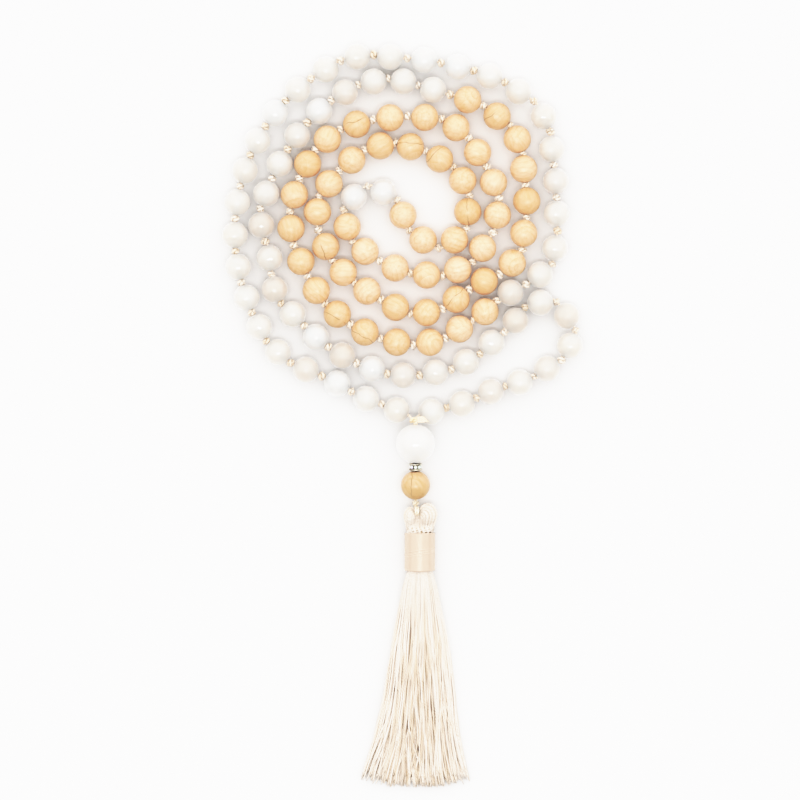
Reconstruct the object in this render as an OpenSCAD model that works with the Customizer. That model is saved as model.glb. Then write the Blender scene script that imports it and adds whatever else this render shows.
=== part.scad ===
// A mala of round stone and wood beads, knotted between each two, with a guru bead and a tassel.
// It lies coiled on a flat surface, z = 0. X is to the right and the tassel points to -Y.

/* [Beads] */
// Diameter of a stone bead of the loop
stone_d = 8; // [7.4:0.1:8]
// Diameter of a wood bead of the loop
wood_d = 8.4; // [7.8:0.1:8.4]
// Diameter of the guru bead, where the two ends of the loop meet
guru_d = 11.8; // [11:0.1:12]
// Diameter of the wood bead under the spacer
pendant_d = 8.8; // [8:0.1:9]
// Diameter of the hole through a bead of the loop
hole_d = 1.4; // [1.3:0.1:1.6]
// Diameter of the hole through the guru bead, the spacer and the pendant bead
wide_hole_d = 1.8; // [1.8:0.1:2]
// Number of stone beads from the guru bead to the first wood bead, on each side
stone_run = 28; // [20:1:34]
// Number of stone beads in the middle of the loop
middle_stones = 2; // [0:2:8]

/* [Spacer] */
// Diameter of the spacer's two flanges
spacer_d = 4; // [3.8:0.1:4.4]
// Length of the spacer along the cord
spacer_l = 2.1; // [2.1:0.1:2.6]
// Thickness of one flange
flange_t = 0.45; // [0.35:0.05:0.5]
// Number of small stones set round the spacer
spacer_gems = 8; // [6:1:8]
// Width of one of those stones
gem_w = 0.9; // [0.7:0.05:0.9]

/* [Thread] */
// Diameter of the thread through the loop
thread_d = 0.8; // [0.6:0.1:0.8]
// Diameter of a knot between two beads
knot_d = 1.9; // [1.6:0.1:1.9]
// Diameter of the doubled cord through the guru bead
cord_d = 1.4; // [1.2:0.1:1.5]
// Diameter of the single cord round the tassel's head
loop_d = 1; // [0.8:0.1:1]

/* [Tassel] */
// Diameter of the band wound round the tassel's neck
band_d = 9.3; // [9:0.1:9.6]
// Length of the band along the tassel
band_l = 11.4; // [9:0.2:13]
// Length of the skirt below the band
skirt_l = 66; // [50:1:80]
// Number of locks in the skirt's lower layer
low_locks = 8; // [6:1:9]
// Number of locks in the skirt's upper layer
top_locks = 7; // [5:1:8]

/* [Hidden] */

round_fn = 64;
// Space left between pieces that touch on the real thing
seat = 0.1;

// Columns of the route: a bead's place on the surface, and the beads from it to the next row's
EAST = 0;
NORTH = 1;
BEADS = 2;
route = [
    // outer turn, clockwise from the guru bead, in stone
    [-1, -3, 2], [-19, 5, 2], [-37, 14.5, 2], [-46.5, 31, 2], [-50, 50, 2], [-47, 69.5, 3],
    [-31, 94, 2], [-13, 104, 1], [-3, 104, 2], [17.5, 101, 2], [36, 93.5, 1], [43.5, 86, 1],
    [46, 76, 2], [47.5, 56.5, 1], [47, 46, 1], [42.5, 38, 1], [33.5, 32.5, 2],
    // third turn, in wood
    [18, 21.5, 1], [9, 17.5, 1], [-1, 17.5, 2], [-19, 26, 2], [-30, 42, 1], [-33, 52, 2],
    [-28, 71.5, 1], [-22, 79, 2], [-3, 85.5, 2], [17, 82.5, 1], [23.5, 75, 2], [29.5, 56, 1],
    [25, 46, 1], [17.5, 39.5, 2], [-1.5, 40, 2],
    // fold in the middle of the coil
    [-16, 52.5, 1], [-14, 61.5, 1], [-5, 63, 2], [7, 48.5, 1], [16.5, 48.5, 1], [20.5, 57, 1],
    // fourth turn, back outwards in wood
    [19, 66.5, 1], [12, 73, 2], [-6, 77, 2], [-21.5, 65.5, 1], [-25, 57, 1], [-22.5, 46.5, 2],
    [-10, 33, 2], [8, 26.5, 1], [17, 30.5, 1], [25.5, 36, 1], [34, 41.5, 1], [37.5, 50.5, 2],
    [37.5, 70, 1], [35.5, 79, 2], [20.5, 91, 1],
    // second turn, in stone, and the loop at its right on the way to the guru bead
    [10, 94, 1], [1, 96.5, 1], [-8, 96.5, 2], [-24.5, 87.5, 2], [-36.5, 71.5, 2], [-42, 53, 1],
    [-39.5, 43, 1], [-38, 33.5, 1], [-32.5, 26, 2], [-17.5, 13.5, 2], [1, 7.5, 2],
    [20, 11.5, 2], [35, 24, 1], [42.5, 29.5, 1], [50.5, 25.5, 1], [51.5, 16.5, 1], [44.5, 9.5, 2],
    [27.5, 2.5, 2], [9.5, -3.5, 1]
];

// The route as a smooth curve through its rows, even in beads
function row(i) = route[(i + len(route)) % len(route)];
function spot(i) = [row(i)[EAST], row(i)[NORTH]];
function pace(i) = (spot(i + 1) - spot(i)) / row(i)[BEADS];
function heading(i) =
    (pace(i) * row(i - 1)[BEADS] + pace(i - 1) * row(i)[BEADS]) / (row(i)[BEADS] + row(i - 1)[BEADS]);
function between(i, s) =
    spot(i) * (2 * pow(s, 3) - 3 * pow(s, 2) + 1)
    + spot(i + 1) * (3 * pow(s, 2) - 2 * pow(s, 3))
    + heading(i) * row(i)[BEADS] * (pow(s, 3) - 2 * pow(s, 2) + s)
    + heading(i + 1) * row(i)[BEADS] * (pow(s, 3) - pow(s, 2));
bead_spots = [for (i = [0 : len(route) - 1])
    for (k = [0 : row(i)[BEADS] - 1]) between(i, k / row(i)[BEADS])];
bead_count = len(bead_spots);

function is_stone(k) =
    k < stone_run || k >= bead_count - stone_run || abs(k - (bead_count - 1) / 2) < middle_stones / 2;
function bead_r(k) = (is_stone(k) ? stone_d : wood_d) / 2;

// Places down the drop from the loop's ends to the tassel, before the whole is centred
drop_x = 4.7;
guru_y = -13.2;
spacer_y = guru_y - guru_d / 2 - seat - spacer_l / 2;
pendant_y = spacer_y - spacer_l / 2 - seat - pendant_d / 2;
band_x = 6;
band_y = -40.2;
skirt_y = band_y - band_l;

// The whole is centred over the origin by the outermost beads and the tassel's tips
west = min([for (p = bead_spots) p[0]]) - stone_d / 2;
east = max([for (p = bead_spots) p[0]]) + stone_d / 2;
far = max([for (p = bead_spots) p[1]]) + stone_d / 2;
near = skirt_y - skirt_l;
middle = [(west + east) / 2, (far + near) / 2, 0];

function bead_at(k) = [bead_spots[k][0], bead_spots[k][1], bead_r(k)];
guru_at = [drop_x, guru_y, guru_d / 2];
pendant_at = [drop_x, pendant_y, pendant_d / 2];
function unit(v) = v / norm(v);
drop_way = unit(pendant_at - guru_at);
spacer_at = guru_at + drop_way * (guru_d / 2 + seat + spacer_l / 2);
joint_knot_at = [drop_x - 0.7, guru_y + guru_d / 2 + knot_d / 2 + 3 * seat, guru_d / 2 + 0.6];
low_knot_at = pendant_at + drop_way * (pendant_d / 2 + seat + knot_d / 2);

// Way of the thread through a bead: along the loop there, less what its neighbours' ways already turn
turn_share = 0.26;
hole_lift = 0.2;
function place(k) = k < 0 || k >= bead_count ? joint_knot_at : bead_at(k);
function loop_way(k) =
    let (near_k = max(0, min(bead_count - 1, k)))
    unit(place(near_k + 1) - place(near_k - 1));
function bead_way(k) = unit(loop_way(k) - turn_share * (loop_way(k - 1) + loop_way(k + 1)));
function way_in(k) = bead_at(k) - bead_way(k) * (bead_r(k) + hole_lift);
function way_out(k) = bead_at(k) + bead_way(k) * (bead_r(k) + hole_lift);

// A tube is swept through stations, each with a place, the way through it and a radius
PLACE = 0;
WAY = 1;
RADIUS = 2;
tube_sides = 6;

// Stations of the knot between a bead and the next, as long as the space between the two allows,
// and slimmer where the thread crosses that space at a slant
knot_half = 0.5;
knot_room = 0.3;
knot_taper = 0.65;
function bead_gap(k) = norm(bead_at(k + 1) - bead_at(k)) - bead_r(k) - bead_r(k + 1);
function knot(k) =
    let (
        way = unit(way_in(k + 1) - way_out(k)),
        square = way * unit(bead_at(k + 1) - bead_at(k)),
        half = min(knot_half, bead_gap(k) / 2 - knot_room)
    )
    [for (end = [-1 : 1]) [
        (way_in(k + 1) + way_out(k)) / 2 + way * half * end,
        way,
        knot_d / 2 * square * (end == 0 ? 1 : knot_taper)
    ]];
function straight(k) = [
    [way_in(k), bead_way(k), thread_d / 2],
    [way_out(k), bead_way(k), thread_d / 2]
];
function thread_end(from, to) =
    [from + unit(to - from) * (knot_d / 2 + 3 * seat), unit(to - from), thread_d / 2];

// Turns a tool that points along +Z to point along way
module along(way) {
    rotate([0, acos(way[2]), atan2(way[1], way[0])]) children();
}

// A closed tube with one ring of corners at each station, its sides counted from the keel's way
module tube(stations, keel) {
    corners = [for (s = stations) let (side = unit(cross(keel, s[WAY])), up = cross(s[WAY], side))
        for (j = [0 : tube_sides - 1]) let (a = 360 * j / tube_sides)
            s[PLACE] + s[RADIUS] * (cos(a) * side + sin(a) * up)];
    last = len(stations) - 1;
    walls = [for (i = [0 : last - 1]) for (j = [0 : tube_sides - 1]) let (n = (j + 1) % tube_sides)
        for (half = [0, 1]) half == 0
            ? [i * tube_sides + j, (i + 1) * tube_sides + j, (i + 1) * tube_sides + n]
            : [i * tube_sides + j, (i + 1) * tube_sides + n, i * tube_sides + n]];
    first_cap = [for (j = [0 : tube_sides - 1]) j];
    last_cap = [for (j = [tube_sides - 1 : -1 : 0]) last * tube_sides + j];
    polyhedron(corners, concat(walls, [first_cap, last_cap]));
}

module drilled_ball(d, bore_d, way) {
    along(way) difference() {
        sphere(d = d, $fn = round_fn);
        cylinder(d = bore_d, h = d + 1, center = true, $fn = round_fn);
    }
}

module white_beads() {
    color("ivory")
        for (k = [0 : bead_count - 1])
            if (is_stone(k))
                translate(bead_at(k) - middle) drilled_ball(stone_d, hole_d, bead_way(k));
}

module wood_beads() {
    color("burlywood")
        for (k = [0 : bead_count - 1])
            if (!is_stone(k))
                translate(bead_at(k) - middle) drilled_ball(wood_d, hole_d, bead_way(k));
}

// The thread runs through all beads, with a knot between each two, and stops at the joint knot
module thread() {
    first = thread_end(joint_knot_at, way_in(0));
    last = thread_end(joint_knot_at, way_out(bead_count - 1));
    stations = [
        first,
        for (k = [0 : bead_count - 1]) each concat(
            straight(k),
            k < bead_count - 1 ? knot(k) : []
        ),
        [last[PLACE], -last[WAY], last[RADIUS]]
    ];
    color("linen") translate(-middle) tube(stations, [0, 0, 1]);
}

module guru_bead() {
    color("ivory") translate(guru_at - middle) drilled_ball(guru_d, wide_hole_d, drop_way);
}

module pendant_bead() {
    color("burlywood") translate(pendant_at - middle) drilled_ball(pendant_d, wide_hole_d, drop_way);
}

hub_d = 2.5;

// Two flanges on a drilled hub
module spacer() {
    color("silver")
        translate(spacer_at - middle) along(drop_way) difference() {
            union() {
                for (end = [-1, 1])
                    translate([0, 0, end * (spacer_l - flange_t) / 2])
                        cylinder(d = spacer_d, h = flange_t, center = true, $fn = round_fn);
                cylinder(d = hub_d, h = spacer_l, center = true, $fn = round_fn);
            }
            cylinder(d = wide_hole_d, h = spacer_l + 1, center = true, $fn = round_fn);
        }
}

gem_facets = 8;
gem_h = 0.55;

// Small stones with a flat table and eight facets, set round the hub between the flanges
module spacer_stones() {
    color("white")
        translate(spacer_at - middle) along(drop_way)
            for (g = [0 : spacer_gems - 1])
                rotate([0, 90, 360 * g / spacer_gems]) translate([0, 0, hub_d / 2 + seat])
                    cylinder(d1 = gem_w, d2 = gem_w * 0.55, h = gem_h, $fn = gem_facets);
}

// The cord goes down through the three, and then once round the skein that makes the tassel's head
loop_x = 5.1;
// Columns of the loop round the skein: distance along -Y from the tassel band, and height
LOOP_UP = 0;
LOOP_Z = 1;
loop_points = [[7.4, 6.6], [6, 7.9], [4.5, 7.4], [3.6, 4.5], [4.5, 1.4], [6, 0.8], [7.3, 1.8]];
function loop_at(i) = [loop_x, band_y + loop_points[i][LOOP_UP], loop_points[i][LOOP_Z]];

module tassel_cord() {
    last = len(loop_points) - 1;
    top = guru_at - drop_way * (guru_d / 2 + seat);
    stations = [
        [joint_knot_at + [0, 1.1, -0.1], [0, -1, 0], cord_d / 4],
        [joint_knot_at + [0, 0.7, 0], [0, -1, 0], knot_d * 0.45],
        [joint_knot_at, unit([0.2, -1, 0]), knot_d / 2],
        [joint_knot_at + [0.2, -0.6, 0], unit([0.4, -1, 0]), knot_d * 0.4],
        [top, drop_way, cord_d / 2],
        [low_knot_at - drop_way * knot_d * 0.5, drop_way, cord_d / 2],
        [low_knot_at - drop_way * knot_d * 0.25, drop_way, knot_d * 0.45],
        [low_knot_at + drop_way * knot_d * 0.2, drop_way, knot_d * 0.45],
        [low_knot_at + drop_way * knot_d * 0.45, unit([0, -1, 0.6]), loop_d / 2],
        for (i = [0 : last]) [
            loop_at(i),
            unit(loop_at(min(i + 1, last)) - loop_at(max(i - 1, 0))),
            loop_d / 2
        ]
    ];
    color("linen") translate(-middle) tube(stations, [1, 0, 0]);
}

soft_fn = 12;
neck_d = band_d - 1.3;

// A blob of the skein, with its place, and its size along X, Y and Z
module blob(place, size) {
    translate(place) scale(size) sphere(d = 1, $fn = soft_fn);
}

// Columns of the head's two lobes: place and size of each blob, from the cord's loop to the neck
AT = 0;
SIZE = 1;
left_lobe = [
    [[5.1, 6.2, 4.4], [1, 1.7, 4.6]],
    [[2.9, 5.4, 4.5], [2.8, 3.4, 6.4]],
    [[2.9, 2.6, 4.6], [3, 4, 7.4]],
    [[4.5, -1.2, 4.65], [2.8, 2, 5.2]]
];
right_lobe = [
    [[5.1, 6.2, 4.4], [1, 1.7, 4.6]],
    [[8.7, 5.8, 4.5], [5.2, 6, 7]],
    [[8.6, 2.7, 4.6], [5.4, 4, 7.6]],
    [[7.5, -1.2, 4.65], [2.8, 2, 5.2]]
];

module lobe(blobs) {
    for (i = [0 : len(blobs) - 2])
        hull() {
            blob([0, band_y, 0] + blobs[i][AT], blobs[i][SIZE]);
            blob([0, band_y, 0] + blobs[i + 1][AT], blobs[i + 1][SIZE]);
        }
}

// Columns of the skirt: share of its length, reach to the left and right of its axis, its height,
// and how far its edges are rounded down
DOWN = 0;
LEFT = 1;
RIGHT = 2;
TALL = 3;
ROUND = 4;
skirt = [
    [-0.03, 3.5, 3.5, 7.4, 0.85],
    [0.005, 3.5, 3.5, 7.4, 0.85],
    [0.05, 5, 5, 8.3, 0.8],
    [0.32, 8.8, 9, 6.4, 0.6],
    [0.6, 11.5, 11.3, 5, 0.5],
    [0.78, 13.8, 12.4, 4.2, 0.4],
    [0.92, 17, 14.4, 3.2, 0.3],
    [1, 17.6, 15, 2.4, 0.2]
];
tip_rise = 3.4;
layer_step = 1.2;
layer_overlap = 1.25;
// Share of the skirt's length over which it comes down onto the surface
landing = 0.2;

// One flat cross-section of a lock; lane is -1 at the skirt's left edge and 1 at its right edge
module lock_slice(s, lane, lanes, layer) {
    tip = s[DOWN] == 1;
    edge = lane < 0 ? s[LEFT] : s[RIGHT];
    tall = s[TALL] * sqrt(1 - s[ROUND] * lane * lane);
    width = (s[LEFT] + s[RIGHT]) / lanes * layer_overlap * (tip ? 0.45 : 1);
    deep = tall / 2 * layer_overlap * (tip ? 0.8 : 1);
    base = (band_d - tall) / 2 * max(0, 1 - max(0, s[DOWN]) / landing);
    z = layer == 0 ? base + deep / 2 : base + tall - deep / 2;
    reach = skirt_l * s[DOWN] - (tip ? tip_rise * lane * lane + layer_step * layer : 0);
    translate([band_x + lane * (edge - width / 2), skirt_y - reach, z])
        scale([width, 1, deep]) rotate([90, 0, 0]) cylinder(d = 1, h = 0.1, $fn = soft_fn);
}

module lock(lane, lanes, layer) {
    for (i = [0 : len(skirt) - 2])
        hull() {
            lock_slice(skirt[i], lane, lanes, layer);
            lock_slice(skirt[i + 1], lane, lanes, layer);
        }
}

module locks(count, layer) {
    for (i = [0 : count - 1])
        lock(count == 1 ? 0 : 2 * i / (count - 1) - 1, count, layer);
}

module tassel() {
    color("floralwhite") translate(-middle) {
        lobe(left_lobe);
        lobe(right_lobe);
        translate([band_x, band_y + 0.6, band_d / 2])
            rotate([90, 0, 0]) cylinder(d = neck_d, h = band_l + 1.6, $fn = 2 * soft_fn);
        locks(low_locks, 0);
        locks(top_locks, 1);
    }
}

band_wall = 0.45;
band_lip = 0.15;

// A band with a bevelled lip at each end
module tassel_binding() {
    outer = band_d / 2;
    color("ivory")
        translate([band_x, band_y, band_d / 2] - middle) rotate([90, 0, 0])
            rotate_extrude($fn = round_fn)
                polygon([
                    [outer - band_wall, 0], [outer - band_lip, 0], [outer, band_lip],
                    [outer, band_l - band_lip], [outer - band_lip, band_l], [outer - band_wall, band_l]
                ]);
}

white_beads();
wood_beads();
thread();
guru_bead();
spacer();
spacer_stones();
pendant_bead();
tassel_cord();
tassel();
tassel_binding();
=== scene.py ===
# A knotted mala of stone and wood beads with a yarn tassel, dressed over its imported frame.
# Tables and arrays are in millimetres, and a mesh is put down in metres.
import bpy
import numpy as np
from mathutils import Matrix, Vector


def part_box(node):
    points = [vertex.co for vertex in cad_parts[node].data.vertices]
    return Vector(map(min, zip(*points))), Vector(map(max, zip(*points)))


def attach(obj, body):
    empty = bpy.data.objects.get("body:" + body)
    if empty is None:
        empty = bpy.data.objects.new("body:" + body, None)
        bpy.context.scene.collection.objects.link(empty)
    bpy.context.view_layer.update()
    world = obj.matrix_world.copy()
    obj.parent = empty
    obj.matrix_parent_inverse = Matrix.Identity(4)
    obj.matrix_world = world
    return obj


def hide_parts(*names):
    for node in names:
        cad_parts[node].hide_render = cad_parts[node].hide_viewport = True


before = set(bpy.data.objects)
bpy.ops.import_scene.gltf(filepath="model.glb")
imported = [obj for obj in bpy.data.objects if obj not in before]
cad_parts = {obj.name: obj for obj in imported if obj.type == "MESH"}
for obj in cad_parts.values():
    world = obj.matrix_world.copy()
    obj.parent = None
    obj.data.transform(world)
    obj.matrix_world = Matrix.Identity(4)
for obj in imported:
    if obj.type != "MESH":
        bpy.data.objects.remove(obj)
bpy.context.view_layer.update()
mm = 0.001
tau = 2 * np.pi
skyward = np.array([0.0, 0.0, 1.0])
print("frame loaded:", len(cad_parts), "nodes")


# Lowest corner, highest corner and middle of a node's box, in millimetres
def nodeBox(node):
    low, high = (np.array(corner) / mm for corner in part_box(node))
    return low, high, (low + high) / 2


# v / |v| along the last axis
def unit(v):
    return v / np.linalg.norm(v, axis=-1, keepdims=True)


# The angles of n even steps round a circle, 2 pi j / n
def around(n):
    return np.arange(n) / n * tau


# Two directions square to a way: keel x way, and way x the first
def crossways(ways, keel=skyward):
    side = unit(np.cross(keel, ways))
    return side, np.cross(ways, side)


# Eased step 3 s^2 - 2 s^3, where s goes from 0 at x = low to 1 at x = high
def ease(x, low, high):
    s = np.clip((x - low) / (high - low), 0, 1)
    return s * s * (3 - 2 * s)


# The cubic from p to q that leaves with slope a and arrives with slope b, at shares s of the way:
# p (2 s^3 - 3 s^2 + 1) + q (3 s^2 - 2 s^3) + a (s^3 - 2 s^2 + s) + b (s^3 - s^2)
def hermite(p, q, a, b, s):
    return (p * (2 * s**3 - 3 * s**2 + 1) + q * (3 * s**2 - 2 * s**3)
            + a * (s**3 - 2 * s**2 + s) + b * (s**3 - s**2))


# A smooth line through each row of control points, by cubics whose slope at a point is half the
# step from the point before it to the point after it
def through(controls, steps):
    controls = np.asarray(controls, float)
    last = controls.shape[1] - 1
    t = np.linspace(0, last, steps)
    i = np.minimum(t.astype(int), last - 1)
    slope = np.gradient(controls, axis=1)
    return hermite(controls[:, i], controls[:, i + 1], slope[:, i], slope[:, i + 1], (t - i)[:, None])


# Length run along each line up to each of its points
def runLength(lines):
    steps = np.linalg.norm(np.diff(lines, axis=1), axis=-1)
    return np.concatenate([np.zeros((len(lines), 1)), np.cumsum(steps, axis=1)], axis=1)


# Tubes along lines: a corner is centre + r ((1 + flat) cos a S + (1 - flat) sin a U), where S and U
# are keel x way and way x S turned by the tube's twist, so that an oval section winds like two plies.
# Gives a part with its corners (lines, rings, sides, 3) and the ply attribute (cos a, sin a, start +
# run length)
def tubes(lines, radius, sides, flat=0.0, pitch=None, phase=0.0, keel=skyward, looped=False, start=0.0):
    lines = np.asarray(lines, float)
    if looped:
        way = np.roll(lines, -1, 1) - np.roll(lines, 1, 1)
    else:
        way = np.gradient(lines, axis=1)
    side, up = crossways(unit(way), keel)
    run = runLength(lines)
    turn = np.zeros_like(run) if pitch is None else run * tau / pitch
    turn = (turn + np.reshape(phase, (-1, 1)))[..., None, None]
    a = around(sides)[:, None]
    across, above = (1 + flat) * np.cos(a), (1 - flat) * np.sin(a)
    spread = ((across * np.cos(turn) - above * np.sin(turn)) * side[:, :, None]
              + (across * np.sin(turn) + above * np.cos(turn)) * up[:, :, None])
    thick = np.broadcast_to(np.asarray(radius, float), run.shape)[..., None, None]
    ply = np.stack(np.broadcast_arrays(np.cos(a[:, 0]), np.sin(a[:, 0]), (run + start)[..., None]), -1)
    return {"points": lines[:, :, None] + thick * spread, "looped": looped, "ply": ply}


# A profile's rows (r, h) swept round: (r cos a, r sin a, h)
def swept(profile, sides):
    r, h = np.asarray(profile, float).T[:, :, None]
    a = around(sides)
    return np.stack([r * np.cos(a), r * np.sin(a), h + 0 * a], -1)


# Solids of turning: a profile is swept round each way, times its wobble. Gives the corners (solids,
# rows, sides, 3) and the same in each solid's own axes, where z is the way
def turned(centres, ways, profile, sides, wobble=None):
    centres, ways = (np.atleast_2d(np.asarray(x, float)) for x in (centres, ways))
    own = swept(profile, sides)
    own = np.broadcast_to(own, (len(centres),) + own.shape)
    if wobble is not None:
        own = own * wobble(own)[..., None]
    axes = np.stack([*crossways(ways), ways], 1)[:, None]
    return centres[:, None, None] + own @ axes, own


# Rows (r, h) of a drilled ball, up its outside and down its bore: r = R sin t and h = -R cos t
# between the rims, and a short bevel in two steps at each rim
def ballProfile(radius, boreRadius, bevel, rows):
    start = np.arcsin((boreRadius + bevel) / radius)
    t = np.linspace(start, np.pi - start, rows)
    outside = np.stack([radius * np.sin(t), -radius * np.cos(t)], 1)
    sunk, stepOut, stepUp = 0.7 * bevel, 0.3 * bevel, 0.6 * bevel
    boreEnd = radius * np.cos(start) - sunk
    stepR, stepH = boreRadius + stepOut, boreEnd + stepUp
    inside = [(stepR, stepH), (boreRadius, boreEnd), (boreRadius, 0),
              (boreRadius, -boreEnd), (stepR, -stepH)]
    return np.vstack([outside, inside])


# Faces of sheets of points (sheets, rows, columns): a quad between each two rows and columns, with
# the columns always round, and the rows round too or ended by flat caps
def sheetFaces(sheets, rows, columns, looped):
    first = np.arange(sheets)[:, None, None] * rows * columns
    i = np.arange(rows if looped else rows - 1)[:, None]
    j = np.arange(columns)
    below, above = i * columns, (i + 1) % rows * columns
    quad = np.stack(np.broadcast_arrays(below + j, below + (j + 1) % columns,
                                        above + (j + 1) % columns, above + j), -1)
    faces = [(first[..., None] + quad).reshape(-1, 4)]
    if not looped:
        bottom = first[:, 0] + j[::-1]
        top = first[:, 0] + (rows - 1) * columns + j
        faces += [bottom, top]
    return faces


# One object from several parts, each {"points", "looped", attribute: values}. It rides on the root
# body, stands for the nodes named and takes the material given
def makePiece(name, parts, material, nodes, smooth=True):
    points, faceSets, start = [], [], 0
    for part in parts:
        sheets, rows, columns = part["points"].shape[:3]
        faceSets += [start + faces for faces in sheetFaces(sheets, rows, columns, part["looped"])]
        points.append(part["points"].reshape(-1, 3) * mm)
        start += sheets * rows * columns
    points = np.concatenate(points)
    mesh = bpy.data.meshes.new(name)
    sizes = np.concatenate([np.full(len(faces), faces.shape[1]) for faces in faceSets])
    mesh.vertices.add(len(points))
    mesh.vertices.foreach_set("co", points.ravel())
    mesh.loops.add(int(sizes.sum()))
    mesh.loops.foreach_set("vertex_index", np.concatenate([faces.ravel() for faces in faceSets]))
    mesh.polygons.add(len(sizes))
    mesh.polygons.foreach_set("loop_start", np.cumsum(sizes) - sizes)
    mesh.update(calc_edges=True)
    for key in sorted({key for part in parts for key in part} - {"points", "looped"}):
        values = [np.broadcast_to(part[key], part["points"].shape).reshape(-1, 3) for part in parts]
        layer = mesh.attributes.new(key, "FLOAT_VECTOR", "POINT")
        layer.data.foreach_set("vector", np.concatenate(values).ravel())
    mesh.polygons.foreach_set("use_smooth", np.full(len(sizes), smooth))
    mesh.materials.append(material)
    piece = bpy.data.objects.new(name, mesh)
    bpy.context.scene.collection.objects.link(piece)
    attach(piece, "root")
    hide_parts(*nodes)
    print(f"{name}: {int((sizes - 2).sum())} triangles")


# Adds a shader node, gives its plain inputs their values and links the others
def wire(tree, kind, inputs=None, **settings):
    made = tree.nodes.new("ShaderNode" + kind)
    for key, value in settings.items():
        setattr(made, key, value)
    for key, value in (inputs or {}).items():
        if isinstance(value, bpy.types.NodeSocket):
            tree.links.new(value, made.inputs[key])
        else:
            made.inputs[key].default_value = value
    return made


# a + factor (b - a) on colours
def blend(tree, factor, a, b):
    a, b = ((*value, 1) if isinstance(value, tuple) else value for value in (a, b))
    return wire(tree, "Mix", {0: factor, 6: a, 7: b}, data_type="RGBA").outputs[2]


# A value from one or more others by Blender's Math node
def maths(tree, kind, a, b=0.0, c=0.0):
    return wire(tree, "Math", {0: a, 1: b, 2: c}, operation=kind).outputs[0]


# a times b
def times(tree, a, b):
    return maths(tree, "MULTIPLY", a, b)


# A value carried over from low..high to start..end, and held at the ends beyond them
def remap(tree, value, low, high, start=0.0, end=1.0, **settings):
    return wire(tree, "MapRange", {0: value, 1: low, 2: high, 3: start, 4: end}, **settings).outputs[0]


# Noise between 0 and 1 over a place
def noise(tree, place, scale, detail, **inputs):
    return wire(tree, "TexNoise", {"Vector": place, "Scale": scale, "Detail": detail, **inputs}).outputs[0]


# A vector that the mesh holds at each of its points
def attribute(tree, name):
    return wire(tree, "Attribute", attribute_name=name).outputs["Vector"]


# The three numbers of a vector
def numbersOf(tree, vector):
    return wire(tree, "SeparateXYZ", {0: vector}).outputs


# An empty material with its Principled shader, whose plain sockets are set here
def startMaterial(name, **sockets):
    material = bpy.data.materials.new(name)
    material.use_nodes = True
    shader = material.node_tree.nodes["Principled BSDF"]
    for key, value in sockets.items():
        shader.inputs[key.replace("_", " ")].default_value = value
    return material, material.node_tree, shader


# Base colour: a first colour, with others laid over it one after the other, each by its factor
def paint(tree, shader, colour, layers):
    for factor, over in layers:
        colour = blend(tree, factor, colour, over)
    tree.links.new(colour, shader.inputs["Base Color"])


# Bump onto the shader's normal, where a height of 1 stands a distance in millimetres proud
def addBump(tree, shader, height, strength, distance):
    bump = wire(tree, "Bump", {"Height": height, "Strength": strength, "Distance": distance * mm})
    tree.links.new(bump.outputs[0], shader.inputs["Normal"])


# The loop
strand = {
    "stoneD": 8.0, "woodD": 8.4, "boreD": 1.4, "bevel": 0.12,
    "stoneRun": 28, "middleStones": 2,
    # share of the neighbours' ways that a bead's way sheds, and how far past its holes it holds
    "turnShare": 0.26, "pastHole": 0.2,
    "jointKnot": (-0.7, 1.25, 0.6),  # from the guru bead's top towards the loop
    # east, north, and the beads from this place to the next row's
    "route": [
        # outer turn, in stone
        (-1, -3, 2), (-19, 5, 2), (-37, 14.5, 2), (-46.5, 31, 2), (-50, 50, 2), (-47, 69.5, 3),
        (-31, 94, 2), (-13, 104, 1), (-3, 104, 2), (17.5, 101, 2), (36, 93.5, 1), (43.5, 86, 1),
        (46, 76, 2), (47.5, 56.5, 1), (47, 46, 1), (42.5, 38, 1), (33.5, 32.5, 2),
        # third turn, in wood
        (18, 21.5, 1), (9, 17.5, 1), (-1, 17.5, 2), (-19, 26, 2), (-30, 42, 1), (-33, 52, 2),
        (-28, 71.5, 1), (-22, 79, 2), (-3, 85.5, 2), (17, 82.5, 1), (23.5, 75, 2), (29.5, 56, 1),
        (25, 46, 1), (17.5, 39.5, 2), (-1.5, 40, 2),
        # fold in the middle of the coil
        (-16, 52.5, 1), (-14, 61.5, 1), (-5, 63, 2), (7, 48.5, 1), (16.5, 48.5, 1), (20.5, 57, 1),
        # fourth turn, back outwards in wood
        (19, 66.5, 1), (12, 73, 2), (-6, 77, 2), (-21.5, 65.5, 1), (-25, 57, 1), (-22.5, 46.5, 2),
        (-10, 33, 2), (8, 26.5, 1), (17, 30.5, 1), (25.5, 36, 1), (34, 41.5, 1), (37.5, 50.5, 2),
        (37.5, 70, 1), (35.5, 79, 2), (20.5, 91, 1),
        # second turn, in stone, and the loop at its right on the way to the guru bead
        (10, 94, 1), (1, 96.5, 1), (-8, 96.5, 2), (-24.5, 87.5, 2), (-36.5, 71.5, 2), (-42, 53, 1),
        (-39.5, 43, 1), (-38, 33.5, 1), (-32.5, 26, 2), (-17.5, 13.5, 2), (1, 7.5, 2),
        (20, 11.5, 2), (35, 24, 1), (42.5, 29.5, 1), (50.5, 25.5, 1), (51.5, 16.5, 1), (44.5, 9.5, 2),
        (27.5, 2.5, 2), (9.5, -3.5, 1),
    ],
}


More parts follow.
